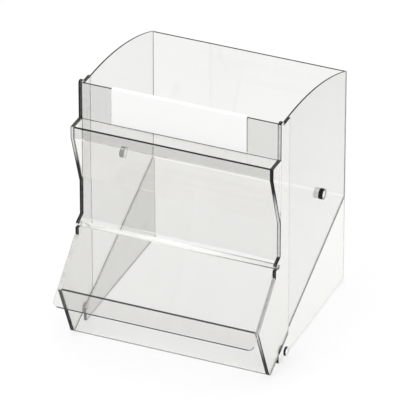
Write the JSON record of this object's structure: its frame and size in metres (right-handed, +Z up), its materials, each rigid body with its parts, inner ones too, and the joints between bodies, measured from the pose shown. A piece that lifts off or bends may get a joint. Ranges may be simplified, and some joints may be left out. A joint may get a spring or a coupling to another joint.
{
  "type": "bulk sweet dispenser bin",
  "caption": "Clear acrylic scoop bin for loose sweets, with an open top, a sloping floor, a grip ridge, a folded label card and a front flap that swings up on a snap-in rod.",
  "frame": {"origin": "under the middle of the bin's overall box, on the surface that it stands on", "axes": "+X across to the right as seen from the front, +Y from the front flap to the back, +Z up"},
  "size_m": [0.2068, 0.2298, 0.2573],
  "materials": {
    "clear_sheet": "clear polished acrylic sheet",
    "clear_rod": "clear polished acrylic rod",
    "label_card": "matt white card"
  },
  "bodies": {
    "bin": {"left_wall": "clear_sheet", "right_wall": "clear_sheet", "left_cheek": "clear_sheet", "right_cheek": "clear_sheet", "back_and_floor": "clear_sheet", "front_panel": "clear_sheet", "grip_ridge": "clear_sheet", "left_ridge_end": "clear_sheet", "right_ridge_end": "clear_sheet", "label_card": "label_card", "left_stand": "clear_sheet", "right_stand": "clear_sheet", "left_peg": "clear_rod", "right_peg": "clear_rod", "left_stud": "clear_rod", "right_stud": "clear_rod"},
    "flap": {"flap": "clear_sheet", "hinge_rod": "clear_rod"}
  },
  "joints": [
    {"name": "flap_hinge", "type": "hinge", "parent": "bin", "child": "flap", "pos_m": [0, -0.05532, 0.1095], "axis": [-1, 0, 0], "range_deg": [0, 125]}
  ]
}
